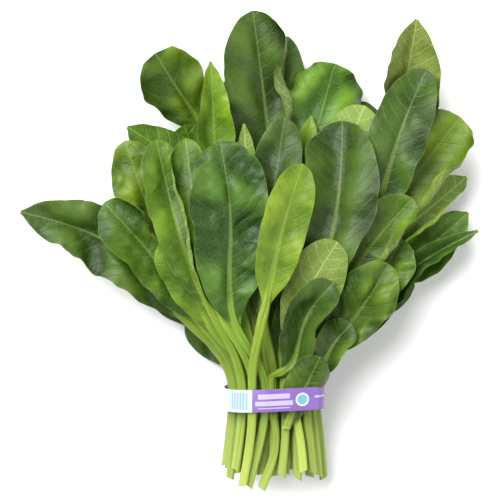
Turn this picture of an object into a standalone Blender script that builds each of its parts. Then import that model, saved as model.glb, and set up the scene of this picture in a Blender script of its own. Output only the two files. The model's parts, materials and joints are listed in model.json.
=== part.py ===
"""A tied bunch of spinach lying on its back on a flat surface.

Every leaf is one piece: a cut stalk that passes through the label band and widens into a blade.
The stalks run along +Y and lie in rows, one above the other, where the band holds them. Above
the band the leaves fan out. They are laid down one by one, from the surface up, and each drapes
over what already lies under it, so that no two pieces meet.

Sizes are in millimetres here and become metres when a mesh is made. X is across the bunch, Y is
along it towards the leaf tips, and Z is up from the surface.
"""

import math
from dataclasses import dataclass

import bmesh
import bpy
import numpy as np

MM = 0.001

# The neck, where the band holds the stalks in rows.
NECK_X = 17.0
ROW_BASE = 3.45
ROW_PITCH = 5.9
NECK_LOW, NECK_HIGH = -117.0, -85.0
NECK_LEAN = 0.05
ROW_RISE = (-4.0, -2.0, 2.0, 7.0, 11.0, 15.0, 18.0)

# The stalk's oval section, and the blade's.
STALK_HALF_WIDTH = 3.0
STALK_HALF_DEPTH = 2.5
BLADE_HALF_THICKNESS = 0.4
TIP_HALF_WIDTH = 1.2
RING_POINTS = 8
STALK_RING_SPACING = 34.0
BLADE_RINGS = 10

# How leaves lie on each other.
NECK_GAP, BLADE_GAP = 0.5, 1.5
GAP_GROWS_FROM, GAP_GROWS_TO = -88.0, -60.0
SLOPE_ALONG, SLOPE_ACROSS = 0.40, 0.40
CELL = 0.8
HALF_FIELD = 190.0

# The label band.
BAND_Y = -101.0
BAND_WIDTH = 15.5
BAND_THICKNESS = 0.5
BAND_CLEARANCE = 0.4
BAND_SQUARENESS = 2.4
BAND_SKEW = 0.05
BAND_POINTS = 44
BAND_COLOUR = (0.22, 0.11, 0.4)
BAND_ARCH = 2.5

# Outline exponents: how the blade widens from its base, and how blunt its tip is.
OVAL = (0.8, 0.5)
LONG_OVAL = (0.7, 0.5)
POINTED = (0.85, 0.8)
SPADE = (1.15, 0.5)
PEAR = (0.78, 0.6)
LANCE = (0.6, 0.9)
STRAP = (0.6, 0.5)

# How each tone of leaf looks: linear colour and roughness.
TONES = {
    "deep": ((0.035, 0.085, 0.022), 0.4),
    "green": ((0.06, 0.15, 0.022), 0.42),
    "bright": ((0.13, 0.27, 0.03), 0.42),
}

# Angles in degrees across one half of a blade: at the midrib, gained on the way out, and turned
# over at the margin. Positive bends up.
FLAT = (4, 6, 0)
CUPPED = (10, 26, 0)
DROOPED = (-4, -22, 0)
VEE = (38, 20, 0)
TURNED = (6, 20, 120)
TUCKED = (0, -20, -70)


@dataclass
class Leaf:
    """One leaf. Places are (x, y) in mm, and bow pushes the middle of the blade to its right."""

    name: str
    tone: str
    row: int
    slot: float
    foot: tuple
    base: tuple
    tip: tuple
    width: float
    outline: tuple = OVAL
    bow: float = 0.0
    roll: float = 0.0
    left: tuple = CUPPED
    right: tuple = CUPPED
    rise: float = None
    tip_lift: float = 0.0
    stiff: bool = False

    @property
    def in_neck(self):
        return self.base[1] > NECK_HIGH


# From the surface up. A leaf that comes later lies over those before it.
LEAVES = (
    # Row 0: the back of the bunch, flat on the surface.
    Leaf(
        "leaf_back_left", "deep", 0, 5.5, (1, -150), (-24, -40), (-92, 30), 50, left=FLAT,
        right=FLAT, roll=-5,
    ),
    Leaf(
        "leaf_back_right", "green", 0, 28.5, (31, -156), (52, -42), (116, 40), 52, left=FLAT,
        right=FLAT, roll=5,
    ),
    Leaf(
        "leaf_back_upper_left", "deep", 0, 13.0, (9, -154), (-4, -20), (-44, 90), 46, left=FLAT,
        right=FLAT, tip_lift=9,
    ),
    Leaf(
        "leaf_back_upper_right", "green", 0, 21.0, (19, -150), (30, -16), (84, 106), 54, left=FLAT,
        right=FLAT,
    ),
    # Row 1.
    Leaf(
        "leaf_left_low_small", "deep", 1, -2.0, (-6, -147), (-11, -80), (-44, -48), 25, LONG_OVAL,
        left=FLAT, right=FLAT,
    ),
    Leaf(
        "leaf_back_far_left", "green", 1, 5.5, (3, -152), (-34, -32), (-116, 12), 42, left=FLAT,
        right=FLAT, roll=-7,
    ),
    Leaf(
        "leaf_back_far_right", "deep", 1, 36.0, (41, -149), (58, -56), (116, -16), 40, bow=-5,
        left=DROOPED, right=FLAT,
    ),
    Leaf(
        "leaf_back_side_right", "green", 1, 28.5, (30, -155), (48, -26), (126, 74), 52, left=FLAT,
        right=FLAT, tip_lift=10,
    ),
    Leaf(
        "leaf_back_top_left", "green", 1, 13.0, (10, -148), (-2, -8), (-8, 116), 46, left=FLAT,
        right=FLAT, tip_lift=16, roll=6,
    ),
    Leaf(
        "leaf_back_top_right", "deep", 1, 21.0, (22, -153), (18, -8), (44, 112), 52, left=FLAT,
        right=FLAT, roll=-7,
    ),
    # Row 2.
    Leaf(
        "leaf_left_dark", "deep", 2, -10.0, (-15, -153), (-38, -54), (-112, 28), 44, POINTED, bow=9,
        left=FLAT, roll=8, tip_lift=8,
    ),
    Leaf(
        "leaf_top_left_curled", "green", 2, -2.0, (-5, -157), (-27, 77), (-66, 138), 47, SPADE,
        roll=-6, tip_lift=14,
    ),
    Leaf("leaf_inner_left", "green", 2, 5.5, (2, -149), (-14, -4), (-46, 88), 44, roll=-9),
    Leaf(
        "leaf_top_dark", "deep", 2, 13.0, (11, -151), (16, 42), (26, 150), 34, PEAR, left=FLAT,
        right=DROOPED, tip_lift=12,
    ),
    Leaf(
        "leaf_top_ruffled", "green", 2, 21.0, (20, -158), (34, 40), (60, 131), 58, SPADE, roll=6,
        left=DROOPED, right=DROOPED, tip_lift=-14,
    ),
    Leaf(
        "leaf_right_pointed", "green", 2, 44.0, (46, -152), (80, -26), (154, 27), 42, POINTED, bow=3,
        left=VEE, roll=12,
    ),
    Leaf(
        "leaf_right_pale", "bright", 2, 36.0, (38, -148), (82, -6), (153, 52), 40, POINTED,
        left=FLAT, right=TURNED, stiff=True,
    ),
    Leaf(
        "leaf_top_right_bright", "bright", 2, 28.5, (29, -154), (88, 38), (116, 161), 54, POINTED,
        bow=4, left=VEE, tip_lift=20, roll=-8,
    ),
    # Row 3.
    Leaf(
        "leaf_left_pointed", "green", 3, 1.5, (-3, -151), (-20, 30), (-85, 86), 38, POINTED, bow=5,
        right=DROOPED, roll=-12, tip_lift=10,
    ),
    Leaf(
        "leaf_left_crinkled", "bright", 3, -6.0, (-12, -155), (-38, -30), (-86, 76), 44, LONG_OVAL,
        bow=-5, roll=-10,
    ),
    Leaf(
        "leaf_left_long", "deep", 3, -14.0, (-17, -150), (-47, -46), (-159, 27), 49, POINTED, bow=15,
        roll=-8, tip_lift=12,
    ),
    Leaf("leaf_top_left_sliver", "bright", 3, 9.2, (6, -153), (-10, 36), (-16, 119), 22, LONG_OVAL),
    Leaf(
        "leaf_top_folded", "deep", 3, 17.0, (14, -149), (17, 24), (2, 166), 64, PEAR, bow=2,
        right=TURNED, stiff=True, tip_lift=12,
    ),
    Leaf("leaf_upper_small_tip", "bright", 3, 24.7, (25, -156), (32, 22), (43, 94), 20, POINTED),
    Leaf(
        "leaf_upper_arc", "bright", 3, 32.4, (34, -151), (46, 26), (80, 101), 40, LONG_OVAL,
        right=DROOPED, tip_lift=-10, roll=6,
    ),
    Leaf(
        "leaf_right_broad", "bright", 3, 40.0, (42, -158), (84, 6), (146, 93), 64, OVAL, bow=-1,
        right=TURNED, stiff=True, tip_lift=8,
    ),
    Leaf(
        "leaf_right_long", "deep", 3, 48.0, (52, -160), (66, -66), (159, 14), 31, LANCE, bow=-9,
        left=VEE, right=VEE, roll=14, tip_lift=6,
    ),
    # Row 4.
    Leaf(
        "leaf_left_turned", "green", 4, -10.0, (-14, -159), (-36, -48), (-100, 33), 42, OVAL, bow=3,
        right=TURNED, stiff=True, tip_lift=10, roll=-6,
    ),
    Leaf(
        "leaf_left_low_bright", "bright", 4, -2.0, (-7, -154), (-27, -52), (-62, 4), 30, LONG_OVAL,
        bow=3, left=FLAT,
    ),
    Leaf(
        "leaf_top_left_bright", "bright", 4, 5.5, (0, -158), (-22, 22), (-27, 130), 29, POINTED,
        left=VEE, tip_lift=10, roll=-6,
    ),
    Leaf("leaf_small_pale", "bright", 4, 13.0, (8, -155), (0, 30), (-4, 88), 14, POINTED, rise=9),
    Leaf("leaf_inner_centre", "green", 4, 21.0, (20, -152), (22, -18), (28, 58), 38),
    Leaf(
        "leaf_right_dark_oblong", "deep", 4, 28.5, (31, -150), (86, 24), (123, 126), 43, STRAP,
        bow=-3, roll=8, tip_lift=-8,
    ),
    Leaf(
        "leaf_right_crinkled", "green", 4, 44.0, (48, -157), (60, -64), (106, 8), 46, OVAL, bow=1,
        roll=9, tip_lift=8,
    ),
    Leaf(
        "leaf_right_round", "green", 4, 36.0, (38, -153), (58, -36), (112, 36), 42, OVAL, bow=-3,
        right=TURNED, stiff=True,
    ),
    # Row 5.
    Leaf(
        "leaf_left_bright", "green", 5, -6.0, (-10, -152), (-28, -38), (-64, 76), 38, LONG_OVAL,
        bow=-4, roll=-9, tip_lift=8,
    ),
    Leaf(
        "leaf_left_rolled", "green", 5, 1.7, (-4, -160), (-20, -42), (-44, 77), 34, LONG_OVAL,
        bow=-4, left=TURNED, stiff=True,
    ),
    Leaf(
        "leaf_right_low_crinkled", "green", 5, 40.0, (44, -154), (50, -72), (95, -9), 41, OVAL,
        bow=3, roll=10, tip_lift=-6,
    ),
    Leaf(
        "leaf_front_low_dark", "deep", 5, 24.7, (26, -149), (23, -80), (40, -12), 26, LONG_OVAL,
        bow=-3,
    ),
    Leaf(
        "leaf_front_right_oval", "deep", 5, 32.4, (33, -158), (46, -28), (64, 90), 57, OVAL, bow=5,
        roll=4, tip_lift=-10,
    ),
    Leaf(
        "leaf_front_upper", "deep", 5, 17.0, (16, -156), (9, -46), (24, 92), 38, OVAL, bow=-3,
        tip_lift=-12,
    ),
    Leaf(
        "leaf_front_centre", "deep", 5, 9.4, (-1, -163), (-9, -52), (-20, 74), 59, OVAL, bow=2,
        roll=-3, tip_lift=8,
    ),
    # Row 6: the front of the bunch, which is its upper side as it lies.
    Leaf(
        "leaf_right_low_wavy", "deep", 6, 32.4, (37, -152), (42, -84), (70, -50), 27, OVAL, roll=12,
        tip_lift=8,
    ),
    Leaf(
        "leaf_front_right_ribbed", "bright", 6, 24.7, (22, -155), (28, -70), (60, 6), 40, OVAL,
        bow=-5, right=FLAT,
    ),
    Leaf(
        "leaf_front_bright", "bright", 6, 1.6, (-5, -162), (11, -36), (36, 59), 36, LONG_OVAL,
        bow=-2, roll=-6, tip_lift=7,
    ),
    Leaf(
        "leaf_front_boat", "deep", 6, 17.0, (8, -164), (21, -84), (57, -22), 38, LONG_OVAL, bow=-3,
        left=VEE, right=VEE, roll=5, tip_lift=9,
    ),
    # Held under the band, over the stalks' right shoulder.
    Leaf(
        "leaf_under_band", "deep", 6, 36.0, (25, -122), (26, -119), (48, -72), 30, OVAL,
        left=DROOPED, right=TUCKED,
    ),
)


def smooth_step(x):
    x = np.clip(x, 0.0, 1.0)
    return x * x * (3 - 2 * x)


def natural_spline(points, at):
    """A natural cubic spline through points, with its own lengths as parameter, read at those knots."""
    points = np.asarray(points, float)
    knots = np.concatenate([[0], np.cumsum(np.linalg.norm(np.diff(points, axis=0), axis=1))])
    n, h = len(knots), np.diff(knots)
    system, known = np.eye(n), np.zeros_like(points)
    for i in range(1, n - 1):
        system[i, i - 1 : i + 2] = h[i - 1], 2 * (h[i - 1] + h[i]), h[i]
        known[i] = 6 * ((points[i + 1] - points[i]) / h[i] - (points[i] - points[i - 1]) / h[i - 1])
    bend = np.linalg.solve(system, known)
    at = np.interp(at, np.arange(n), knots)
    i = np.clip(np.searchsorted(knots, at, side="right") - 1, 0, n - 2)
    a, b, step = (at - knots[i])[:, None], (knots[i + 1] - at)[:, None], h[i][:, None]
    curve = (bend[i] * b**3 + bend[i + 1] * a**3) / (6 * step)
    line = (points[i] / step - bend[i] * step / 6) * b + (points[i + 1] / step - bend[i + 1] * step / 6) * a
    return curve + line


def route(leaf):
    """The leaf's line seen from above: its points, and its share of the blade at each, -1 on the stalk."""
    base, tip = np.array(leaf.base, float), np.array(leaf.tip, float)
    ahead = (tip - base) / np.linalg.norm(tip - base)
    middle = (base + tip) / 2 + leaf.bow * np.array([ahead[1], -ahead[0]])
    if leaf.in_neck:
        lean = NECK_LEAN * (leaf.base[0] - leaf.slot)
        neck = [(leaf.slot - lean * 0.5, NECK_LOW), (leaf.slot + lean * 0.5, NECK_HIGH)]
        controls = [leaf.foot, *neck, base, middle, tip]
        stretches = [(0, 1), (1, 2), (2, 3)]
    else:
        controls = [leaf.foot, base, middle, tip]
        stretches = [(0, 1)]
    knots = []
    for first, last in stretches:
        span = np.linalg.norm(np.subtract(controls[last], controls[first]))
        pieces = 1 if first == 1 else max(1, math.ceil(span / STALK_RING_SPACING))
        knots += list(first + np.arange(pieces) / pieces)
    shares = np.sin(math.pi / 2 * np.arange(BLADE_RINGS + 1) / BLADE_RINGS)
    blade_start = len(controls) - 3
    share = np.concatenate([np.full(len(knots), -1.0), shares])
    knots = np.concatenate([knots, blade_start + 2 * shares])
    return natural_spline(controls, knots), share


def half_width(leaf, share):
    widen, blunt = leaf.outline
    peak = widen / (widen + blunt)
    blade = np.clip(share, 0, 1)
    form = blade**widen * (1 - blade) ** blunt / (peak**widen * (1 - peak) ** blunt)
    stalk = STALK_HALF_WIDTH * np.where(share < 0, 1.0, 1 - blade)
    return np.maximum(np.hypot(stalk, leaf.width / 2 * form), TIP_HALF_WIDTH)


def bend_angle(bend, t, share):
    """The blade's slope, in radians, at a share t of the way out from its midrib."""
    at_rib, gained, turned = np.radians(bend)
    fullness = np.sin(math.pi * np.clip(share, 0, 1)) ** 0.5
    return fullness * (at_rib + gained * t + turned * smooth_step((t - 0.45) / 0.4))


def section(leaf, share, width, knots):
    """One ring as (across, up) pairs: left margin, upper face, right margin, then the lower face back."""
    steps = 24
    roll = math.radians(leaf.roll) * smooth_step(share * 2)
    middle, normal = [], []
    for t in knots:
        bend = leaf.right if t >= 0 else leaf.left
        side = 1 if t >= 0 else -1
        out = (np.arange(steps) + 0.5) / steps * abs(t)
        slope = bend_angle(bend, out, share) + side * roll
        reach = width * abs(t) / steps
        middle.append((side * reach * np.cos(slope).sum(), reach * np.sin(slope).sum()))
        end = bend_angle(bend, abs(t), share) + side * roll
        normal.append((-side * math.sin(end), math.cos(end)))
    middle, normal = np.array(middle), np.array(normal)
    thin = smooth_step((width - STALK_HALF_WIDTH) / (2.5 * STALK_HALF_WIDTH)) if share > 0 else 0.0
    round_depth = STALK_HALF_DEPTH * np.sqrt(np.maximum(0, 1 - knots**2))
    if share > 0.8:
        round_depth = np.minimum(round_depth, BLADE_HALF_THICKNESS)
    rib = STALK_HALF_DEPTH * 0.8 * max(0.0, 1 - share) ** 3
    flat_depth = np.full(len(knots), BLADE_HALF_THICKNESS)
    flat_depth[len(knots) // 2] += rib
    flat_depth[[0, -1]] = 0.0
    depth = ((1 - thin) * round_depth + thin * flat_depth)[:, None]
    upper, lower = middle + normal * depth, middle - normal * depth
    return np.concatenate([upper, lower[-2:0:-1]])


def knots_across(leaf, share, width):
    """Where the ring's points lie across the half-widths: round on the stalk, wider apart on the blade."""
    count = 7 if leaf.stiff else 5
    round_knots = -np.cos(math.pi * np.arange(count) / (count - 1))
    flat_knots = np.array([-1, -0.78, -0.45, 0, 0.45, 0.78, 1] if leaf.stiff else [-1, -0.55, 0, 0.55, 1])
    thin = smooth_step((width - STALK_HALF_WIDTH) / (2.5 * STALK_HALF_WIDTH)) if share > 0 else 0.0
    return (1 - thin) * round_knots + thin * flat_knots


def centre_heights(leaf, line):
    """The height of the leaf's line before it drapes: level through the band, then rising, then easing off."""
    run = np.concatenate([[0], np.cumsum(np.linalg.norm(np.diff(line, axis=0), axis=1))])
    past = np.maximum(0, run - np.interp(NECK_HIGH, line[:, 1], run)) if leaf.in_neck else 0 * run
    whole = max(past[-1], 1.0)
    rise = math.tan(math.radians(ROW_RISE[leaf.row] if leaf.rise is None else leaf.rise))
    height = ROW_BASE + ROW_PITCH * leaf.row + rise * past * (1 - 0.55 * past / whole)
    return height + leaf.tip_lift * smooth_step((past / whole - 0.7) / 0.3)


def leaf_rings(leaf):
    """The leaf's rings as an array of (ring, point, xyz), before it drapes."""
    line, share = route(leaf)
    width = half_width(leaf, share)
    height = centre_heights(leaf, line)
    ahead = np.gradient(line, axis=0)
    ahead /= np.linalg.norm(ahead, axis=1)[:, None]
    rings = []
    for i, (x, y) in enumerate(line):
        knots = knots_across(leaf, share[i], width[i])
        flat = section(leaf, share[i], width[i], knots)
        right = np.array([ahead[i, 1], -ahead[i, 0]])
        plan = np.array([x, y]) + flat[:, :1] * right
        rings.append(np.column_stack([plan, height[i] + flat[:, 1]]))
    return np.array(rings)


def ring_faces(rings, points):
    """Triangles of a closed tube of rings, cut alike above and below, with its two ends closed by strips."""
    faces = []
    for i in range(rings - 1):
        for k in range(points):
            here, after = i * points, (i + 1) * points
            ahead = (k + 1) % points
            if k < points // 2:
                faces.append((here + k, here + ahead, after + ahead))
                faces.append((here + k, after + ahead, after + k))
            else:
                faces.append((here + k, here + ahead, after + k))
                faces.append((here + ahead, after + ahead, after + k))
    last = (rings - 1) * points
    for k in range(points // 2):
        upper, lower = (k, k + 1), ((points - k) % points, points - k - 1)
        quad = [upper[0], upper[1], lower[1], lower[0]]
        corners = [c for n, c in enumerate(quad) if c not in quad[:n]]
        for c in range(1, len(corners) - 1):
            faces.append(tuple(last + corners[j] for j in (0, c, c + 1)))
            faces.append(tuple(corners[j] for j in (0, c + 1, c)))
    return np.array(faces)


def face_samples(points, faces):
    """Points spread over the faces about a cell apart, with the face of each."""
    corners = points[faces]
    longest = np.linalg.norm((corners - np.roll(corners, 1, axis=1))[:, :, :2], axis=2).max(axis=1)
    divisions = np.maximum(1, np.ceil(longest / CELL).astype(int))
    found, owner = [], []
    for n in np.unique(divisions):
        which = np.flatnonzero(divisions == n)
        a, b = np.meshgrid(np.arange(n + 1), np.arange(n + 1), indexing="ij")
        inside = a + b <= n
        weights = np.stack([a[inside], b[inside], (n - a - b)[inside]], axis=1) / n
        found.append(np.einsum("wc,fcx->fwx", weights, corners[which]).reshape(-1, 3))
        owner.append(np.repeat(which, len(weights)))
    return np.concatenate(found), np.concatenate(owner)


def cells_of(samples):
    return tuple(((samples[:, k] + HALF_FIELD) / CELL).astype(int) for k in (0, 1))


def drape(leaf, rings, top):
    """Lifts the leaf clear of top, the height map of all that lies under it, and adds the leaf to it."""
    count, around = rings.shape[:2]
    columns = around // 2 + 1
    column_of = np.array([k if k < columns else around - k for k in range(around)])
    faces = ring_faces(count, around)
    flat = rings.reshape(-1, 3)
    samples, owner = face_samples(flat, faces)
    padded = np.pad(top, 1, mode="edge")
    wide, deep = top.shape
    near = np.max([padded[i : i + wide, j : j + deep] for i in range(3) for j in range(3)], axis=0)
    grown = smooth_step((samples[:, 1] - GAP_GROWS_FROM) / (GAP_GROWS_TO - GAP_GROWS_FROM))
    gap = NECK_GAP + (BLADE_GAP - NECK_GAP) * grown
    short = np.maximum(near[cells_of(samples)] + gap, 0.0) - samples[:, 2]
    need = np.full((count, columns), -1e3)
    for corner in faces[owner].T:
        np.maximum.at(need, (corner // around, column_of[corner % around]), short)
    if leaf.stiff:
        need[:] = need.max(axis=1, keepdims=True)
    middle = (rings[:, :columns] + rings[:, -np.arange(columns) % around]) / 2
    centre = middle[:, columns // 2, :2]
    along = np.concatenate([[0], np.cumsum(np.linalg.norm(np.diff(centre, axis=0), axis=1))])
    across = np.linalg.norm(middle[:, :, :2] - centre[:, None], axis=2)
    across *= np.sign(np.arange(columns) - columns // 2)
    place = np.stack([np.repeat(along, columns) * SLOPE_ALONG, across.ravel() * SLOPE_ACROSS], axis=1)
    apart = np.linalg.norm(place[:, None] - place[None], axis=2)
    lift = np.maximum((need.ravel()[None] - apart).max(axis=1), 0.0).reshape(count, columns)
    for _ in range(2):
        eased = lift.copy()
        eased[1:-1] = (lift[:-2] + 2 * lift[1:-1] + lift[2:]) / 4
        lift = np.maximum(lift, eased)
    rings[:, :, 2] += lift[:, column_of]
    samples, _ = face_samples(rings.reshape(-1, 3), faces)
    np.maximum.at(top, cells_of(samples), samples[:, 2])


def material(name, colour, roughness):
    made = bpy.data.materials.new(name)
    made.use_nodes = True
    shader = made.node_tree.nodes["Principled BSDF"]
    shader.inputs["Base Color"].default_value = (*colour, 1.0)
    shader.inputs["Roughness"].default_value = roughness
    shader.inputs["Metallic"].default_value = 0.0
    return made


def add_object(name, points, faces, finish, parent):
    """A closed mesh with its origin at its first ring, the cut end on a leaf, shaded smooth."""
    place = points[:RING_POINTS].mean(axis=0)
    shell = bmesh.new()
    corners = [shell.verts.new(point) for point in ((points - place) * MM).tolist()]
    for face in faces:
        shell.faces.new([corners[i] for i in face])
    mesh = bpy.data.meshes.new(name)
    shell.to_mesh(mesh)
    shell.free()
    mesh.shade_smooth()
    mesh.set_sharp_from_angle(angle=math.radians(50))
    mesh.materials.append(finish)
    made = bpy.data.objects.new(name, mesh)
    made.location = place * MM
    made.parent = parent
    bpy.context.scene.collection.objects.link(made)


def band_centre(x, z, middle, half):
    """Where the band's centre line runs along Y: it lies a little askew, and lower at the front."""
    return BAND_Y + BAND_SKEW * (x - NECK_X) - BAND_ARCH / 2 * (z - middle[1]) / half[1]


def band_mesh(pieces):
    """A taut band, drawn round a soft oval and whatever of the stalks stands out of it."""
    samples = [face_samples(rings.reshape(-1, 3), ring_faces(*rings.shape[:2]))[0] for rings in pieces]
    samples = np.concatenate(samples)
    held = samples[np.abs(samples[:, 1] - BAND_Y) < BAND_WIDTH / 2]
    low, high = held.min(axis=0)[[0, 2]], held.max(axis=0)[[0, 2]]
    for _ in range(3):
        middle, half = (low + high) / 2, (high - low) / 2
        off_centre = samples[:, 1] - band_centre(samples[:, 0], samples[:, 2], middle, half)
        around = samples[np.abs(off_centre) < BAND_WIDTH / 2 + 0.8][:, [0, 2]]
        low, high = around.min(axis=0), around.max(axis=0)
    angles = 2 * math.pi * np.arange(BAND_POINTS) / BAND_POINTS
    outward = np.stack([np.cos(angles), np.sin(angles)], axis=1)
    oval = middle + np.sign(outward) * np.abs(outward) ** (2 / BAND_SQUARENESS) * half
    around = np.concatenate([around, oval])
    touched = around[np.argmax(around @ outward.T, axis=0)]
    inner = touched + outward * BAND_CLEARANCE
    outer = inner + outward * BAND_THICKNESS
    loops = []
    for loop, side in ((inner, -0.5), (outer, -0.5), (outer, 0.5), (inner, 0.5)):
        y = band_centre(loop[:, 0], loop[:, 1], middle, half) + side * BAND_WIDTH
        loops.append(np.column_stack([loop[:, 0], y, loop[:, 1]]))
    points = np.stack(loops, axis=1).reshape(-1, 3)
    faces = []
    for i in range(BAND_POINTS):
        here, after = 4 * i, 4 * ((i + 1) % BAND_POINTS)
        for k in range(4):
            ahead = (k + 1) % 4
            faces.append((here + k, after + ahead, after + k))
            faces.append((here + k, here + ahead, after + ahead))
    return points, np.array(faces)


def clear_scene():
    for old in list(bpy.data.objects):
        bpy.data.objects.remove(old)


def build():
    clear_scene()
    bunch = bpy.data.objects.new("spinach_bunch", None)
    bpy.context.scene.collection.objects.link(bunch)
    greens = {tone: material(f"leaf_{tone}", *look) for tone, look in TONES.items()}
    band_print = material("band_print", BAND_COLOUR, 0.35)
    cells = int(2 * HALF_FIELD / CELL)
    top = np.full((cells, cells), -10.0)
    pieces = []
    for leaf in LEAVES:
        rings = leaf_rings(leaf)
        drape(leaf, rings, top)
        pieces.append(rings)
    band_points, band_faces = band_mesh(pieces)
    everything = np.concatenate([band_points, *[rings.reshape(-1, 3) for rings in pieces]])
    low, high = everything.min(axis=0), everything.max(axis=0)
    origin = np.array([(low[0] + high[0]) / 2, (low[1] + high[1]) / 2, low[2]])
    for leaf, rings in zip(LEAVES, pieces):
        faces = ring_faces(*rings.shape[:2])
        add_object(leaf.name, rings.reshape(-1, 3) - origin, faces, greens[leaf.tone], bunch)
    add_object("label_band", band_points - origin, band_faces, band_print, bunch)


build()
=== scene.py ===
"""The looks of a tied bunch of spinach lying on its back.

Each leaf's CAD solid is a tube of rings from the cut end of its stalk to the tip of its blade. Those
rings are read back here, and a fine leaf is drawn through them: a grooved stalk, a raised midrib, a
puckered blade and a wavy margin. The leaves are laid from the bottom of the pile up, and each is eased
clear of those below. Lengths are in millimetres until a mesh is made.
"""

import json
import math

import bpy
import numpy as np
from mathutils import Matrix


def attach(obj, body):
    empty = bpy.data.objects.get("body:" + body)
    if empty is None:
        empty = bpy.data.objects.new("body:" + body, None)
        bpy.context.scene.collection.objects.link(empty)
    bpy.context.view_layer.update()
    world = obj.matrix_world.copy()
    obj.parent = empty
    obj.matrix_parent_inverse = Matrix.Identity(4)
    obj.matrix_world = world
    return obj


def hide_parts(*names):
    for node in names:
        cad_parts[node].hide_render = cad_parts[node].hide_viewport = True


MM = 0.001
# The CAD leaf's rings: how many steps its blade has, how far a cut end's points spread and how many there
# are, which way the stalks near the foot lead, and how exactly shared points coincide.
BLADE_RINGS = 10
RING_REACH = 9.0
RING_SIZES = (8, 12)
UP_THE_STALK = np.array([0.32, 0.95, 0.0])
WELD = 0.01
# The fine leaf's grid.
COLUMNS = 27
SPINE = COLUMNS // 2
BLADE_STEP, STALK_STEP = 1.35, 4.0
# Its thickness and its veins.
BLADE_HALF_THICKNESS = 0.24
STALK_HALF_WIDTH = 3.0
RIB_HALF_WIDTH_AT_TIP, RIB_TAPER = 0.45, 1.25
VEIN_SPACING = 9.0
VEIN_LEAN, VEIN_CURVE = 0.62, 0.012
VEIN_STAGGER = 0.47
VEIN_SHIFT = 0.37
EDGE_ON = 0.9999
TINY = 1e-12

# How strongly each leaf is puckered, how wavy its margin is and how far its blade undulates. Most leaves are
# 1, 1, 1.
CHARACTER = {
    "leaf_front_centre": (1.8, 0.7, 1.5),
    "leaf_front_right_oval": (0.7, 0.5, 1.1),
    "leaf_front_upper": (0.5, 0.4, 0.9),
    "leaf_front_bright": (0.8, 0.9, 0.8),
    "leaf_front_boat": (0.9, 1.2, 1.0),
    "leaf_right_dark_oblong": (0.6, 0.6, 0.9),
    "leaf_top_folded": (0.8, 0.7, 1.3),
    "leaf_top_left_curled": (1.0, 1.2, 1.6),
    "leaf_top_ruffled": (1.2, 1.8, 1.5),
    "leaf_left_crinkled": (1.9, 1.2, 1.0),
    "leaf_left_turned": (1.7, 1.2, 1.2),
    "leaf_left_long": (1.1, 1.5, 1.6),
    "leaf_right_crinkled": (1.6, 1.3, 1.2),
    "leaf_right_low_crinkled": (1.9, 1.4, 1.4),
    "leaf_right_low_wavy": (1.0, 1.8, 1.4),
    "leaf_right_long": (0.9, 1.7, 1.2),
    "leaf_under_band": (1.0, 1.2, 1.0),
}
# Leaves that lie with their underside up.
FLIPPED = {
    "leaf_right_pale",
    "leaf_front_right_ribbed",
    "leaf_top_right_bright",
    "leaf_small_pale",
    "leaf_upper_arc",
    "leaf_back_top_left",
    "leaf_back_side_right",
}


def smooth_step(x):
    x = np.clip(x, 0.0, 1.0)
    return x * x * (3 - 2 * x)


def natural_spline(knots, values, at):
    """A natural cubic spline through values, an array of (knot, ...), read at other places."""
    knots, values, at = np.asarray(knots, float), np.asarray(values, float), np.asarray(at, float)
    n, h = len(knots), np.diff(knots)
    shape = values.shape[1:]
    flat = values.reshape(n, -1)
    system, known = np.eye(n), np.zeros_like(flat)
    for i in range(1, n - 1):
        system[i, i - 1 : i + 2] = h[i - 1], 2 * (h[i - 1] + h[i]), h[i]
        known[i] = 6 * ((flat[i + 1] - flat[i]) / h[i] - (flat[i] - flat[i - 1]) / h[i - 1])
    bend = np.linalg.solve(system, known)
    i = np.clip(np.searchsorted(knots, at, side="right") - 1, 0, n - 2)
    a, b, step = (at - knots[i])[:, None], (knots[i + 1] - at)[:, None], h[i][:, None]
    curve = (bend[i] * b**3 + bend[i + 1] * a**3) / (6 * step)
    line = (flat[i] / step - bend[i] * step / 6) * b + (flat[i + 1] / step - bend[i + 1] * step / 6) * a
    return (curve + line).reshape(len(at), *shape)


def welded(node):
    """The node's points in millimetres, each once, and its triangles."""
    mesh = frame["nodes"][node].data
    points = np.empty(len(mesh.vertices) * 3, np.float32)
    mesh.vertices.foreach_get("co", points)
    points = points.reshape(-1, 3).astype(float) / MM
    places = np.round(points / WELD).astype(int)
    _, first, index = np.unique(places, axis=0, return_index=True, return_inverse=True)
    mesh.calc_loop_triangles()
    faces = np.empty(len(mesh.loop_triangles) * 3, np.int32)
    mesh.loop_triangles.foreach_get("vertices", faces)
    return points[first], index.reshape(-1)[faces].reshape(-1, 3)


def first_ring(points, beside):
    """The points of the stalk's cut end in order, from the left margin over the upper face."""
    start = np.argmin(points[:, 1])
    near = np.flatnonzero(np.linalg.norm(points - points[start], axis=1) < RING_REACH)
    if len(near) not in RING_SIZES:  # the next ring is near as well, further up the stalk
        near = near[np.argsort(points[near] @ UP_THE_STALK)][: RING_SIZES[0]]
    across = points[near] - points[near].mean(axis=0)
    turn = (math.pi - np.arctan2(across[:, 2], across[:, 0]) + 0.2) % (2 * math.pi)
    ring = [int(i) for i in near[np.argsort(turn)]]
    # Only the left margin's point of the next ring touches a single point here.
    following = {p for q in ring for p in beside[q]} - set(ring)
    touched = [[k for k, q in enumerate(ring) if q in beside[p]] for p in following]
    left = next(ks[0] for ks in touched if len(ks) == 1)
    return ring[left:] + ring[:left]


def place_in_ring(touching, around):
    """Where a point sits in its ring, from the places that it touches in the ring before."""
    if len(touching) != 2:  # a margin touches one point, on the left, or three
        return touching[len(touching) // 2]
    lower, upper = touching
    if upper <= around // 2:
        return upper
    return lower or upper


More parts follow.
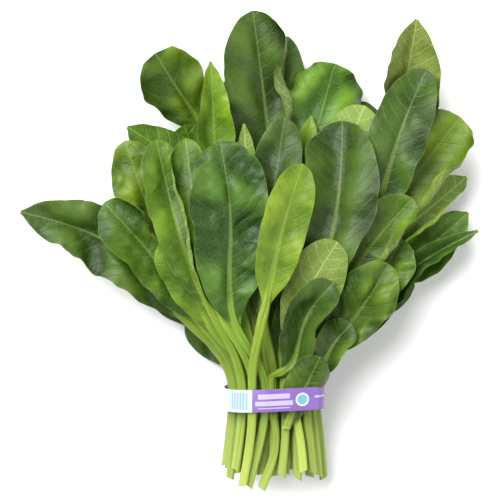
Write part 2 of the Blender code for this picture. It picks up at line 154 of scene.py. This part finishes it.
def ring_grid(node):
    """The CAD leaf's points as (ring, place round the ring, xyz), from the cut end to the tip."""
    points, faces = welded(node)
    beside = [set() for _ in points]
    for a, b, c in faces:
        beside[a] |= {b, c}
        beside[b] |= {a, c}
        beside[c] |= {a, b}
    ring = first_ring(points, beside)
    rings, used = [ring], set(ring)
    around = len(ring)
    while after := {p for q in ring for p in beside[q]} - used:
        following = [None] * around
        for p in after:
            touching = [k for k in range(around) if ring[k] in beside[p]]
            following[place_in_ring(touching, around)] = p
        ring = following
        rings.append(ring)
        used |= after
    return points[np.array(rings)]


class Wander:
    """A smooth random field of waves about as long as asked, the same each run for the same seed."""

    def __init__(self, seed, wavelength, waves=7):
        random = np.random.default_rng(seed)
        angle = random.uniform(0, 2 * math.pi, waves)
        size = 2 * math.pi / (wavelength * random.uniform(0.7, 1.5, waves))
        self.along, self.across = size * np.cos(angle), size * np.sin(angle)
        self.phase = random.uniform(0, 2 * math.pi, waves)

    def __call__(self, x, y):
        total = 0
        for a, b, c in zip(self.along, self.across, self.phase):
            total = total + np.sin(a * x + b * y + c)
        return total / math.sqrt(len(self.phase))


def vein_phase(x, y, seed):
    """Counts the side veins along the blade: whole numbers on a vein, halves midway between two."""
    bent = y - VEIN_LEAN * np.abs(x) - VEIN_CURVE * x * x
    return bent / VEIN_SPACING + np.where(x > 0, 0.0, VEIN_STAGGER) + (seed * VEIN_SHIFT) % 1.0


class Pile:
    """The height of the leaves laid so far, in square cells. Each leaf is eased up until it clears them."""

    CELL, REACH = 0.7, 200.0
    GAP, GAP_BESIDE = 0.65, 0.52
    SLOPE, MOST = 0.35, 9.0
    # Stalks stay where the band holds them, and are free from here on, fully after this many millimetres.
    FREE_FROM, FREE_OVER = -78.0, 22.0

    def __init__(self):
        cells = int(2 * self.REACH / self.CELL)
        self.height = np.full((cells, cells), 0.0)

    def fine(self, sheet):
        """Points between the sheet's own, two for each step along it and three across."""
        doubled = np.concatenate([sheet[:-1], (sheet[:-1] + sheet[1:]) / 2], axis=0)
        steps = [doubled[:, :-1] + (doubled[:, 1:] - doubled[:, :-1]) * k / 3 for k in range(3)]
        return np.concatenate(steps, axis=1).reshape(-1, 3)

    def cells(self, points):
        at = ((points[..., :2] + self.REACH) / self.CELL).astype(int)
        at = np.clip(at, 0, len(self.height) - 1)
        return at[..., 0], at[..., 1]

    def add(self, sheet):
        points = self.fine(sheet)
        np.maximum.at(self.height, self.cells(points), points[:, 2])

    def lift(self, sheet, share):
        """How far to raise each point of the sheet, with no slope steeper than SLOPE."""
        low = sheet[:, :, 2] - BLADE_HALF_THICKNESS
        need = self.height[self.cells(sheet)] + self.GAP - low
        for way in ((1, 0), (-1, 0), (0, 1), (0, -1)):
            beside = self.height[self.cells(sheet + np.array([*way, 0.0]) * self.CELL)]
            need = np.maximum(need, beside + self.GAP_BESIDE - low)
        free = smooth_step((sheet[:, SPINE, 1] - self.FREE_FROM) / self.FREE_OVER) * (share > -0.9)
        need = np.clip(need, 0.0, self.MOST) * free[:, None]
        along = self.SLOPE * np.linalg.norm(np.diff(sheet, axis=0), axis=2)
        across = self.SLOPE * np.linalg.norm(np.diff(sheet, axis=1), axis=2)
        for _ in range(2):
            self.ease(need, along)
            self.ease(need.T, across.T)
        return need * free[:, None]

    @staticmethod
    def ease(need, fall):
        """Raises each row to no more than fall below the rows beside it."""
        for i in range(1, len(need)):
            need[i] = np.maximum(need[i], need[i - 1] - fall[i - 1])
        for i in range(len(need) - 2, -1, -1):
            need[i] = np.maximum(need[i], need[i + 1] - fall[i])


pile = Pile()


def distance_along(line):
    return np.concatenate([[0], np.cumsum(np.linalg.norm(np.diff(line, axis=0), axis=1))])


def fine_sheet(node):
    """The leaf's middle surface on the fine grid, with the place of each point on the blade.

    Gives the points, t from -1 at the left margin to 1 at the right, x and y across and along the blade, each
    row's share of the blade, below 0 on the stalk, and each row's mean half width.
    """
    rings = ring_grid(node)
    count, around = rings.shape[:2]
    columns = around // 2 + 1
    middle = (rings[:, :columns] + rings[:, -np.arange(columns) % around]) / 2
    run = distance_along(middle[:, columns // 2])
    base = count - 1 - BLADE_RINGS
    blade_shares = np.sin(math.pi / 2 * np.arange(BLADE_RINGS + 1) / BLADE_RINGS)
    ring_share = np.concatenate([run[:base] / run[base] - 1, blade_shares])
    steps = np.linalg.norm(np.diff(middle, axis=1), axis=2)
    reach = np.concatenate([np.zeros((count, 1)), np.cumsum(steps, axis=1)], axis=1)
    reach -= reach[:, columns // 2 : columns // 2 + 1]
    half = np.stack([-reach[:, 0], reach[:, -1]], axis=1)
    share_out = reach / np.where(reach < 0, half[:, :1], half[:, 1:])

    stalk_rows = max(6, int(run[base] / STALK_STEP))
    blade_rows = max(24, int((run[-1] - run[base]) / BLADE_STEP))
    rows = np.linspace(0, run[base], stalk_rows)[:-1]
    rows = np.concatenate([rows, np.linspace(run[base], run[-1], blade_rows)])
    share = np.interp(rows, run, ring_share)
    middle = natural_spline(run, middle, rows)
    share_out = natural_spline(run, share_out, rows)
    half = np.maximum(natural_spline(run, half, rows), 0.9)

    width = half.mean(axis=1)
    thin = np.where(share > 0, smooth_step((width - STALK_HALF_WIDTH) / (2.5 * STALK_HALF_WIDTH)), 0.0)
    even = np.linspace(-1, 1, COLUMNS)
    even = np.clip(even * (1.12 - 0.12 * even**2), -1, 1)
    round_out = -np.cos(math.pi * np.arange(COLUMNS) / (COLUMNS - 1))
    t = (1 - thin)[:, None] * round_out + thin[:, None] * even
    sheet = np.stack([natural_spline(share_out[i], middle[i], t[i]) for i in range(len(rows))])
    x = t * np.where(t < 0, half[:, :1], half[:, 1:])
    y = (rows - run[base])[:, None] + 0 * x
    return sheet, t, x, y, share, width


def puckers(node, seed, t, x, y, share, width):
    """How far each point of the blade stands off the smooth leaf, and how its margin swells and notches."""
    relief, wave, roll = CHARACTER.get(node, (1.0, 1.0, 1.0))
    on_blade = smooth_step(share / 0.16)[:, None] * smooth_step((1.03 - share) / 0.08)[:, None]
    off_rib = 1 - np.exp(-((x / 4.0) ** 2))
    room = np.minimum(1.0, width[:, None] / 20)

    drift = Wander(seed + 11, 26)(x, y)
    between_veins = np.abs(np.sin(math.pi * vein_phase(x + drift, y + 2.0 * drift, seed))) ** 0.8 - 0.6
    patch = smooth_step(0.5 + 0.5 * Wander(seed + 71, 34)(x, y))
    quilt = between_veins * (1 - 0.5 * np.abs(t)) * (0.3 + patch)
    small = Wander(seed + 31, 13)(x, y)
    crease = 0.55 - np.minimum(1.0, np.abs(Wander(seed + 41, 22)(x, y)) * 1.6) ** 0.7
    bumps = relief * off_rib * (0.5 * quilt + 0.25 * small + 0.6 * crease * patch)

    big, broad = Wander(seed + 21, 34)(x, y), Wander(seed + 81, 62)(x, y)
    valley = np.exp(-((x / 7.0) ** 2)) - 0.35
    bumps = bumps + roll * room * (1.5 * off_rib * big + 2.3 * broad * np.abs(t) - 1.3 * valley)

    random = np.random.default_rng(seed + 51)
    phases = random.uniform(0, 2 * math.pi, 4)
    side = np.where(x > 0, 0, 2)
    stray = Wander(seed + 91, 40)(x * 0 + side * 9, y)
    ripple = np.sin(2 * math.pi * y / 27 + phases[0] + side + stray)
    ripple = ripple + 0.5 * np.sin(2 * math.pi * y / 13 + phases[1] + side - stray)
    bumps = bumps + wave * 0.8 * room * np.abs(t) ** 3 * ripple
    notches = 0.012 * wave * np.sin(y / 2.9 + phases[2] + side + 2 * stray)
    swell = 0.035 * Wander(seed + 61, 27)(side * 9.0, y)
    outline = 1 + (notches + swell) * np.abs(t) ** 2 * on_blade
    # The cut end runs aslant.
    slant = (0.25 + 0.5 * random.random()) * (1 if seed % 2 else -1)
    return bumps, on_blade, outline, slant


def normals(sheet):
    along, out = np.gradient(sheet, axis=0), np.gradient(sheet, axis=1)
    normal = np.cross(out, along)
    return normal / (np.linalg.norm(normal, axis=2)[:, :, None] + TINY)


def thicknesses(node, t, x, share):
    """How far the leaf's skin stands above and below its middle surface."""
    rib_width = STALK_HALF_WIDTH * (1 - np.clip(share, 0, 1)) ** RIB_TAPER
    rib_width = np.maximum(RIB_HALF_WIDTH_AT_TIP, rib_width)[:, None]
    rib = np.sqrt(np.clip(1 - (x / rib_width) ** 2, 0, 1)) * rib_width * 0.83
    leafy = smooth_step(share / 0.2)[:, None]
    margin = np.sqrt(np.clip(1 - np.abs(t) ** 6, 0, 1))
    blade = BLADE_HALF_THICKNESS * margin * smooth_step(share / 0.05)[:, None]
    groove = 0.55 * np.exp(-((x / (0.3 * rib_width)) ** 2)) * rib_width / STALK_HALF_WIDTH
    ribbed = np.maximum(rib, blade)
    grooved = np.maximum((1 - leafy) * rib, blade) - groove * (1 - 0.4 * leafy) * (np.abs(t) < 0.98)
    above, below = (ribbed, grooved) if node in FLIPPED else (grooved, ribbed)
    return above * (np.abs(t) < EDGE_ON), below * (np.abs(t) < EDGE_ON)


def leaf_surface(node, seed):
    """The fine leaf's upper and lower points, and what the material needs to know at each."""
    sheet, t, x, y, share, width = fine_sheet(node)
    bumps, on_blade, outline, slant = puckers(node, seed, t, x, y, share, width)
    spine = sheet[:, SPINE : SPINE + 1]
    sheet = spine + (sheet - spine) * outline[:, :, None]
    sheet = sheet + normals(sheet) * (bumps * on_blade)[:, :, None]
    sheet[:, :, 2] += pile.lift(sheet, share)

    normal = normals(sheet)
    above, below = thicknesses(node, t, x, share)
    top, bottom = sheet + normal * above[:, :, None], sheet - normal * below[:, :, None]
    ahead = sheet[1, SPINE] - sheet[0, SPINE]
    ahead /= np.linalg.norm(ahead)
    top[0] += ahead * (slant * x[0])[:, None]
    bottom[0] += ahead * (slant * x[0])[:, None]
    top[:, :, 2], bottom[:, :, 2] = np.maximum(top[:, :, 2], 0.1), np.maximum(bottom[:, :, 2], 0.0)
    pile.add(top)

    edge = (1 - np.abs(t)) * width[:, None]
    grown = np.broadcast_to(share[:, None], x.shape)
    # Painted shade and light from the blade's relief: low in its hollows, high on its crests. The material
    # darkens the one and lightens the other.
    high = np.clip(0.5 + bumps * (-1 if node in FLIPPED else 1) / 6, 0, 1)
    return top, bottom, x, y, edge, grown, high


def store(mesh, name, kind, values, domain="POINT"):
    """Puts values on the mesh as an attribute that its material reads."""
    made = mesh.attributes.new(name, kind, domain)
    made.data.foreach_set("vector" if kind == "FLOAT_VECTOR" else "value", values.astype(np.float32).ravel())


def show(mesh, node, finish, sharp):
    """Adds the mesh as the piece that stands for the CAD node."""
    mesh.shade_smooth()
    mesh.set_sharp_from_angle(angle=math.radians(sharp))
    mesh.materials.append(finish)
    piece = bpy.data.objects.new(node + "_fine", mesh)
    bpy.context.scene.collection.objects.link(piece)
    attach(piece, "root")
    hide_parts(node)


def end_cap(start, around, turned):
    """Strips that close one end of the tube of points round the leaf."""
    caps = []
    for c in range(COLUMNS - 1):
        cap = [start + c, start + c + 1, start + around - c - 1, start + (around - c) % around]
        cap = [p for n, p in enumerate(cap) if p not in cap[:n]]
        caps.append(cap[::-1] if turned else cap)
    return caps


def make_leaf(node, seed, finish):
    top, bottom, x, y, edge, grown, high = leaf_surface(node, seed)
    rows = len(top)
    around = 2 * COLUMNS - 2

    def ring(upper, lower):
        return np.concatenate([upper, lower[:, COLUMNS - 2 : 0 : -1]], axis=1)

    points = ring(top, bottom).reshape(-1, 3) * MM
    flip = node in FLIPPED
    under = ring(np.full_like(x, float(flip)), np.full_like(x, float(not flip)))
    i, k = np.meshgrid(np.arange(rows - 1), np.arange(around), indexing="ij")
    here, ahead = i * around + k, i * around + (k + 1) % around
    quads = np.stack([here, ahead, ahead + around, here + around], axis=2).reshape(-1, 4)
    cut_end, tip = end_cap(0, around, True), end_cap((rows - 1) * around, around, False)
    mesh = bpy.data.meshes.new(node + "_fine")
    mesh.from_pydata(points.tolist(), [], quads.tolist() + cut_end + tip)
    at = np.stack([ring(x, x), ring(y, y), np.full(under.shape, float(seed))], axis=2)
    on = np.stack([ring(edge, edge), under, ring(grown, grown)], axis=2)
    cut = np.zeros(len(mesh.polygons))
    cut[len(quads) : len(quads) + len(cut_end)] = 1.0
    store(mesh, "leaf_at", "FLOAT_VECTOR", at)
    store(mesh, "leaf_on", "FLOAT_VECTOR", on)
    # The painted relief shade and light, reversed on the lower skin.
    store(mesh, "leaf_painted_relief_shade", "FLOAT", ring(high, 1 - high))
    store(mesh, "leaf_cut", "FLOAT", cut, "FACE")
    show(mesh, node, finish, sharp=55)


class Nodes:
    """A short way to write a material's node tree."""

    def __init__(self, name):
        self.material = bpy.data.materials.new(name)
        self.material.use_nodes = True
        self.tree = self.material.node_tree
        self.shader = self.tree.nodes["Principled BSDF"]

    def put(self, socket, value):
        if isinstance(value, bpy.types.NodeSocket):
            self.tree.links.new(value, socket)
        elif value is not None:
            wide = getattr(socket, "type", "") == "RGBA" and len(value) == 3
            socket.default_value = (*value, 1.0) if wide else value

    def node(self, kind, *inputs, **settings):
        made = self.tree.nodes.new("ShaderNode" + kind)
        for key, value in settings.items():
            setattr(made, key, value)
        for socket, value in zip(made.inputs, inputs):
            self.put(socket, value)
        return made

    def math(self, operation, a, b=None):
        return self.node("Math", a, b, operation=operation).outputs[0]

    def add(self, a, b):
        return self.math("ADD", a, b)

    def subtract(self, a, b):
        return self.math("SUBTRACT", a, b)

    def times(self, a, b):
        return self.math("MULTIPLY", a, b)

    def within(self, value, low, high):
        """1 where the value lies between low and high, else 0."""
        off = self.math("ABSOLUTE", self.subtract(value, (low + high) / 2))
        return self.math("LESS_THAN", off, (high - low) / 2)

    def mix(self, factor, a, b):
        made = self.node("Mix", data_type="RGBA", blend_type="MIX")
        self.put(made.inputs[0], factor)
        self.put(made.inputs[6], a)
        self.put(made.inputs[7], b)
        return made.outputs[2]

    def map(self, value, low, high, to_low=0.0, to_high=1.0):
        """The value carried smoothly from the range low to high to the range to_low to to_high."""
        limits = (low, high, to_low, to_high)
        return self.node("MapRange", value, *limits, interpolation_type="SMOOTHSTEP").outputs[0]

    def noise(self, vector, scale, detail=3.0, roughness=0.55):
        made = self.node("TexNoise")
        self.put(made.inputs["Vector"], vector)
        self.put(made.inputs["Scale"], scale)
        self.put(made.inputs["Detail"], detail)
        self.put(made.inputs["Roughness"], roughness)
        return made.outputs["Fac"]

    def attribute(self, name):
        return self.node("Attribute", attribute_name=name)

    def split(self, vector):
        return self.node("SeparateXYZ", vector).outputs

    def join(self, x, y, z):
        return self.node("CombineXYZ", x, y, z).outputs[0]

    def bump(self, height, strength, distance):
        made = self.node("Bump")
        self.put(made.inputs["Strength"], strength)
        self.put(made.inputs["Distance"], distance)
        self.put(made.inputs["Height"], height)
        self.put(self.shader.inputs["Normal"], made.outputs[0])


def side_vein(n, x, y, seed, place):
    """1 on a side vein and 0 away from it. The veins are those between which the blade puckers."""
    wander = n.subtract(n.noise(place, 0.06, 2.0), 0.5)
    out = n.add(n.math("ABSOLUTE", x), n.times(wander, 3.0))
    bent = n.subtract(y, n.times(out, VEIN_LEAN))
    bent = n.subtract(bent, n.times(n.times(out, out), VEIN_CURVE))
    bent = n.add(bent, n.times(wander, 9.0))
    phase = n.add(n.math("DIVIDE", bent, VEIN_SPACING), n.times(n.math("LESS_THAN", x, 0.0), VEIN_STAGGER))
    phase = n.add(phase, n.math("FRACT", n.times(seed, VEIN_SHIFT)))
    away = n.times(n.math("PINGPONG", phase, 0.5), VEIN_SPACING)
    return n.map(away, 0.1, 0.75, 1.0, 0.0)


def leaf_material(name, dark, light, under, roughness):
    """Leaf skin: mottled green with painted shade in the hollows and painted light on the crests, sunken pale
    veins above and raised ones below, pale rib and stalk, and a painted pale rim of light along the margin.
    """
    n = Nodes(name)
    x, y, seed = n.split(n.attribute("leaf_at").outputs["Vector"])
    edge, below, grown = n.split(n.attribute("leaf_on").outputs["Vector"])
    cut, high = n.attribute("leaf_cut").outputs["Fac"], n.attribute("leaf_painted_relief_shade").outputs["Fac"]
    place = n.join(x, y, n.times(seed, 17.0))
    mottle = n.noise(place, 0.055, 4.0)
    grain = n.noise(place, 0.5, 5.0, 0.65)
    streak = n.noise(n.join(n.times(x, 2.2), n.times(y, 0.06), seed), 1.0, 4.0)
    on_blade = n.map(grown, 0.02, 0.16)
    vein = n.times(side_vein(n, x, y, seed, place), on_blade)
    net = n.node("TexVoronoi", feature="DISTANCE_TO_EDGE")
    n.put(net.inputs["Vector"], place)
    n.put(net.inputs["Scale"], 0.3)
    small_vein = n.times(n.map(net.outputs["Distance"], 0.0, 0.16, 1.0, 0.0), on_blade)
    left = n.math("POWER", n.subtract(1.0, n.math("MAXIMUM", grown, 0.0)), RIB_TAPER)
    rib_width = n.math("MAXIMUM", n.times(left, STALK_HALF_WIDTH), RIB_HALF_WIDTH_AT_TIP)
    rib = n.map(n.math("DIVIDE", n.math("ABSOLUTE", x), rib_width), 0.55, 1.25, 1.0, 0.0)

    # The two faces of the blade.
    vein_green = (0.16, 0.28, 0.05)
    pale = tuple(0.45 * a + 0.55 * b for a, b in zip(light, vein_green))
    # Random mottle and grain, then painted shade in the blade's hollows and painted light on its crests.
    shade = n.add(n.times(mottle, 0.55), n.times(grain, 0.15))
    shade = n.map(n.add(shade, n.times(high, 0.62)), 0.38, 0.98)
    top = n.mix(shade, dark, light)
    top = n.mix(n.times(vein, 0.17), top, pale)
    top = n.mix(n.times(small_vein, 0.1), top, pale)
    low = n.mix(shade, tuple(0.82 * c for c in under), under)
    low = n.mix(n.times(vein, 0.45), low, (0.3, 0.42, 0.12))
    low = n.mix(n.times(small_vein, 0.18), low, (0.28, 0.4, 0.12))
    skin = n.mix(below, top, low)

    # Stalk and midrib, paler towards the cut end.
    stalk = n.mix(n.map(grown, -1.0, -0.3), (0.28, 0.37, 0.07), (0.13, 0.225, 0.012))
    stalk = n.mix(n.map(streak, 0.35, 0.75, 0.0, 0.45), stalk, (0.3, 0.39, 0.08))
    far = n.mix(n.add(n.times(below, 0.5), 0.25), skin, (0.28, 0.42, 0.08))
    rib_colour = n.mix(n.map(grown, 0.0, 0.45), stalk, far)
    skin = n.mix(n.times(rib, 0.9), skin, rib_colour)
    on_stalk = n.map(grown, 0.0, 0.07, 1.0, 0.0)
    skin = n.mix(on_stalk, skin, stalk)

    # Each leaf has its own tint.
    vary = n.node("TexWhiteNoise", noise_dimensions="1D")
    n.put(vary.inputs["W"], seed)
    tint = n.node("HueSaturation")
    n.put(tint.inputs["Hue"], n.map(vary.outputs["Color"], 0.0, 1.0, 0.487, 0.51))
    n.put(tint.inputs["Value"], n.map(vary.outputs["Value"], 0.0, 1.0, 0.82, 1.18))
    n.put(tint.inputs["Color"], skin)
    # A painted pale rim of light along the blade's margin.
    painted_rim_light = n.times(n.map(edge, 0.1, 0.75, 1.0, 0.0), on_blade)
    skin = n.mix(n.times(painted_rim_light, 0.4), tint.outputs[0], pale)
    pith = n.mix(n.map(n.noise(place, 1.4, 3.0), 0.35, 0.7), (0.5, 0.6, 0.26), (0.66, 0.73, 0.42))
    n.put(n.shader.inputs["Base Color"], n.mix(cut, skin, pith))

    matt = n.add(grain, n.times(below, 0.35))
    n.put(n.shader.inputs["Roughness"], n.map(matt, 0.3, 1.0, roughness - 0.04, roughness + 0.14))
    n.shader.inputs["IOR"].default_value = 1.4
    n.shader.inputs["Specular IOR Level"].default_value = 0.34

    raised = n.subtract(n.times(below, 2.0), 1.0)
    height = n.times(n.add(n.times(vein, 0.34), n.times(small_vein, 0.1)), raised)
    height = n.add(height, n.times(grain, 0.07))
    height = n.add(height, n.times(n.times(streak, 0.4), n.map(grown, 0.0, 0.2, 1.0, 0.0)))
    n.bump(height, 0.6, MM)
    return n.material


def band_outline(points, count):
    """The band seen along the bunch: evenly spaced points of its softened outline, and its girth."""
    directions = 720
    angles = 2 * math.pi * np.arange(directions) / directions
    outward = np.stack([np.cos(angles), np.sin(angles)], axis=1)
    hull = points[np.argmax(points @ outward.T, axis=0)]
    hull = hull[np.linalg.norm(hull - np.roll(hull, 1, axis=0), axis=1) > 1e-6]
    closed = np.concatenate([hull, hull[:1]])
    run = distance_along(closed)
    even = np.linspace(0, run[-1], count, endpoint=False)
    fine = np.stack([np.interp(even, run, closed[:, k]) for k in (0, 1)], axis=1)
    for _ in range(int(count / 40)):
        fine = (np.roll(fine, 1, axis=0) + 2 * fine + np.roll(fine, -1, axis=0)) / 4
    return fine, run[-1]


def make_band(finish):
    """A thin strip round the outside of the CAD band, tilted as it is, and a little crowned."""
    count, across, thickness = 240, 9, 0.28
    points, _ = welded("label_band")
    loop, girth = band_outline(points[:, [0, 2]], count)
    plane = np.column_stack([points[:, 0], points[:, 2], np.ones(len(points))])
    tilt, _, _, _ = np.linalg.lstsq(plane, points[:, 1], rcond=None)
    spread = points[:, 1] - points[:, [0, 2]] @ tilt[:2] - tilt[2]
    half = (spread.max() - spread.min()) / 2
    ahead = np.roll(loop, -1, axis=0) - np.roll(loop, 1, axis=0)
    ahead /= np.linalg.norm(ahead, axis=1)[:, None]
    outward = np.stack([ahead[:, 1], -ahead[:, 0]], axis=1)
    front = np.argmax(loop[:, 1] - 0.4 * np.abs(loop[:, 0] - loop[:, 0].mean()))
    run = (np.arange(count) / count * girth - front / count * girth + girth / 2) % girth - girth / 2
    rows, at = [], []
    soft = Wander(5, 60)
    for inside in (False, True):
        for k in range(across):
            v = k / (across - 1) * 2 - 1
            crown = 0.12 * (1 - v * v) - 0.1 + 0.12 * soft(run, v * 8)
            shell = loop + outward * ((-thickness if inside else 0.0) + crown)[:, None]
            y = loop @ tilt[:2] + tilt[2] + v * half
            rows.append(np.column_stack([shell[:, 0], y, shell[:, 1]]))
            at.append(np.column_stack([-run, np.full(count, v * half), np.full(count, float(inside))]))
    order = list(range(across)) + list(range(2 * across - 1, across - 1, -1))
    rows, at = np.array(rows)[order], np.array(at)[order]
    total = len(order)
    r, c = np.meshgrid(np.arange(total), np.arange(count), indexing="ij")
    here, after = r * count + c, r * count + (c + 1) % count
    over, over_after = (r + 1) % total * count + c, (r + 1) % total * count + (c + 1) % count
    quads = np.stack([here, over, over_after, after], axis=2).reshape(-1, 4)
    mesh = bpy.data.meshes.new("label_band_fine")
    mesh.from_pydata((rows.reshape(-1, 3) * MM).tolist(), [], quads.tolist())
    store(mesh, "band_at", "FLOAT_VECTOR", at)
    show(mesh, "label_band", finish, sharp=50)


def band_material():
    """Coated paper: violet print with one white end, plain pale bars and a disc, and bare white inside."""
    violet, pale = (0.15, 0.075, 0.29), (0.46, 0.43, 0.54)
    white_end = -17.0
    # Each bar's left and right ends along the band, then its lower and upper edges across it.
    bars = ((-13, 9, 1.0, 4.4), (-15, 11, -3.6, -0.4), (-13, 9, -5.6, -4.9), (26, 44, 0.6, 2.0))
    disc_at, disc = (17.5, -0.2), ((4.6, (0.42, 0.48, 0.5)), (3.4, (0.12, 0.3, 0.4)))

    n = Nodes("label_band_look")
    along, across, inside = n.split(n.attribute("band_at").outputs["Vector"])
    place = n.join(along, across, 0.0)
    ink = n.mix(n.map(n.noise(place, 0.12, 3.0), 0.3, 0.75), violet, tuple(1.12 * c for c in violet))
    stripes = n.map(n.math("SINE", n.times(along, 2.6)), -0.3, 0.3)
    stripes = n.times(stripes, n.within(across, -5.6, 5.6))
    stripes = n.times(stripes, n.within(along, -35.5, -19.5))
    end = n.mix(n.times(stripes, 0.8), (0.42, 0.47, 0.53), (0.12, 0.3, 0.5))
    colour = n.mix(n.math("LESS_THAN", along, white_end), ink, end)
    for left, right, bottom, top in bars:
        bar = n.times(n.within(along, left, right), n.within(across, bottom, top))
        colour = n.mix(n.times(bar, 0.7), colour, pale)
    off_x, off_y = n.subtract(along, disc_at[0]), n.subtract(across, disc_at[1])
    out = n.math("SQRT", n.add(n.times(off_x, off_x), n.times(off_y, off_y)))
    for radius, fill in disc:
        colour = n.mix(n.math("LESS_THAN", out, radius), colour, fill)
    n.put(n.shader.inputs["Base Color"], n.mix(inside, colour, (0.8, 0.8, 0.78)))
    fibre = n.noise(place, 1.8, 4.0)
    n.put(n.shader.inputs["Roughness"], n.map(fibre, 0.2, 0.8, 0.24, 0.4))
    n.bump(fibre, 0.25, 0.2 * MM)
    return n.material


def make_stage():
    """A pale floor, a white world and two soft suns. Distances are in metres."""
    far = 9
    mesh = bpy.data.meshes.new("floor")
    mesh.from_pydata([(-far, -far, 0), (far, -far, 0), (far, far, 0), (-far, far, 0)], [], [(0, 1, 2, 3)])
    floor = bpy.data.objects.new("floor", mesh)
    pale = Nodes("floor_look")
    pale.shader.inputs["Base Color"].default_value = (0.86, 0.86, 0.86, 1.0)
    pale.shader.inputs["Roughness"].default_value = 0.8
    mesh.materials.append(pale.material)
    bpy.context.scene.collection.objects.link(floor)

    world = bpy.data.worlds.new("studio")
    bpy.context.scene.world = world
    world.use_nodes = True
    nodes, links = world.node_tree.nodes, world.node_tree.links
    background = nodes["Background"]
    seen = nodes.new("ShaderNodeLightPath")
    level = nodes.new("ShaderNodeMapRange")
    links.new(seen.outputs["Is Camera Ray"], level.inputs[0])
    level.inputs[3].default_value, level.inputs[4].default_value = 0.36, 0.97
    background.inputs["Color"].default_value = (1.0, 1.0, 1.0, 1.0)
    links.new(level.outputs[0], background.inputs["Strength"])

    for name, place, softness, strength in (
        ("key", (-0.45, 0.5, 0.95), 0.75, 5.6),
        ("fill", (0.75, -0.35, 0.8), 1.2, 1.5),
    ):
        light = bpy.data.lights.new(name, "SUN")
        light.angle, light.energy = softness, strength
        made = bpy.data.objects.new(name, light)
        made.location = place
        aim = -made.location.normalized()
        made.rotation_euler = aim.to_track_quat("-Z", "Y").to_euler()
        bpy.context.scene.collection.objects.link(made)


def make_camera():
    """Looks straight down on the bunch, with the leaf tips at the top. Distances are in metres."""
    distance, frame_width, mid_height = 1.4, 0.35, 0.03
    camera = bpy.data.cameras.new("camera")
    camera.sensor_width = 36.0
    camera.lens = camera.sensor_width * distance / frame_width
    camera.clip_end = 20.0
    made = bpy.data.objects.new("camera", camera)
    made.location = (0.0, 0.0, distance + mid_height)
    bpy.context.scene.collection.objects.link(made)
    bpy.context.scene.camera = made
    bpy.context.scene.view_settings.view_transform = "Standard"


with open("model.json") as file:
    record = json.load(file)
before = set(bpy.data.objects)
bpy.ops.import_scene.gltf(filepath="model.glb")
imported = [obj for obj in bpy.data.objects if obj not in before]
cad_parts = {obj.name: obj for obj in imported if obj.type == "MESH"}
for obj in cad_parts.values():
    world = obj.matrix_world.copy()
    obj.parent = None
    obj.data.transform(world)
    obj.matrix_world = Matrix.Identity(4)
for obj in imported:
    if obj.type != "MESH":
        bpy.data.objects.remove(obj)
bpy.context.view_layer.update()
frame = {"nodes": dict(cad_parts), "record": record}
make_stage()
make_camera()
# Each tone's shaded and lit upper side, its underside and its roughness.
tones = {
    "leaf_deep": ((0.012, 0.036, 0.002), (0.06, 0.125, 0.014), (0.1, 0.16, 0.035), 0.44),
    "leaf_green": ((0.02, 0.058, 0.002), (0.1, 0.19, 0.012), (0.11, 0.18, 0.03), 0.45),
    "leaf_bright": ((0.045, 0.105, 0.003), (0.165, 0.275, 0.016), (0.14, 0.21, 0.03), 0.46),
}
looks = {slot: leaf_material(slot + "_look", *tone) for slot, tone in tones.items()}
for number, part in enumerate(frame["record"]["subparts"]):
    node, slot = part["node"], part["material_slot"]
    if node != "label_band":
        make_leaf(node, number + 1, looks[slot])
make_band(band_material())
